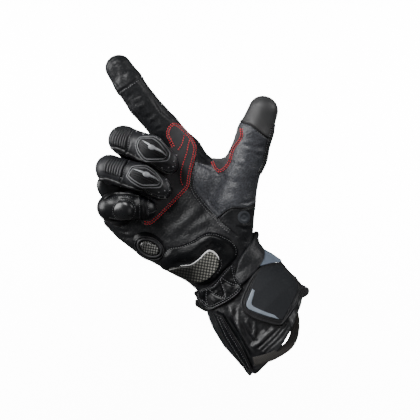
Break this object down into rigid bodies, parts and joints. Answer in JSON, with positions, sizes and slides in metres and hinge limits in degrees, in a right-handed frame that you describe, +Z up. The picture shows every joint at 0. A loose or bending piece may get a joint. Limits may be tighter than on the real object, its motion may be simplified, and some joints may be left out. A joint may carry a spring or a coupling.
{
  "type": "motorcycle racing glove",
  "caption": "Right leather racing glove in a worn pose: first finger and thumb out, other fingers curled, long gauntlet with closing flap.",
  "frame": {"origin": "middle of the wearer's wrist, inside the glove", "axes": "+Z up along the worn glove's height as stored, +X to the thumb's side, -Y the way the palm faces"},
  "size_m": [0.1696, 0.0781, 0.2568],
  "materials": {
    "leather": "black full-grain leather, semi-gloss with a bluish sheen",
    "grained": "grained charcoal leather",
    "suede": "dark matt suede with red stitching",
    "rubber": "black moulded rubber",
    "silver": "silver-grey moulded plastic",
    "carbon": "glossy woven carbon look",
    "flap": "slate woven synthetic",
    "grey": "blue-grey trim",
    "webbing": "dark brown-grey webbing"
  },
  "bodies": {
    "root": {"index_finger": "leather", "index_tip": "leather", "middle_finger": "leather", "ring_finger": "leather", "little_finger": "leather", "thumb_tip": "leather", "thumb_panel": "grained", "thumb_base_panel": "leather", "palm_panel": "leather", "back_panel": "leather", "gauntlet": "leather", "palm_patch": "suede", "thumb_crotch_patch": "suede", "heel_pad": "leather", "heel_slider": "carbon", "edge_pad": "leather", "edge_slider": "carbon", "middle_slider_rim": "rubber", "middle_slider": "silver", "ring_slider_rim": "rubber", "ring_slider": "silver", "middle_accordion": "rubber", "ring_accordion": "rubber", "little_dome": "leather", "wrist_tab": "leather", "wrist_strap": "leather", "gauntlet_flap": "flap", "flap_edge": "leather", "flap_corner": "grey", "flap_triangle": "grey", "side_strip": "leather", "rear_tab": "leather", "left_tab": "leather", "pull_loop": "webbing", "knuckle_guard": "rubber"}
  },
  "joints": []
}
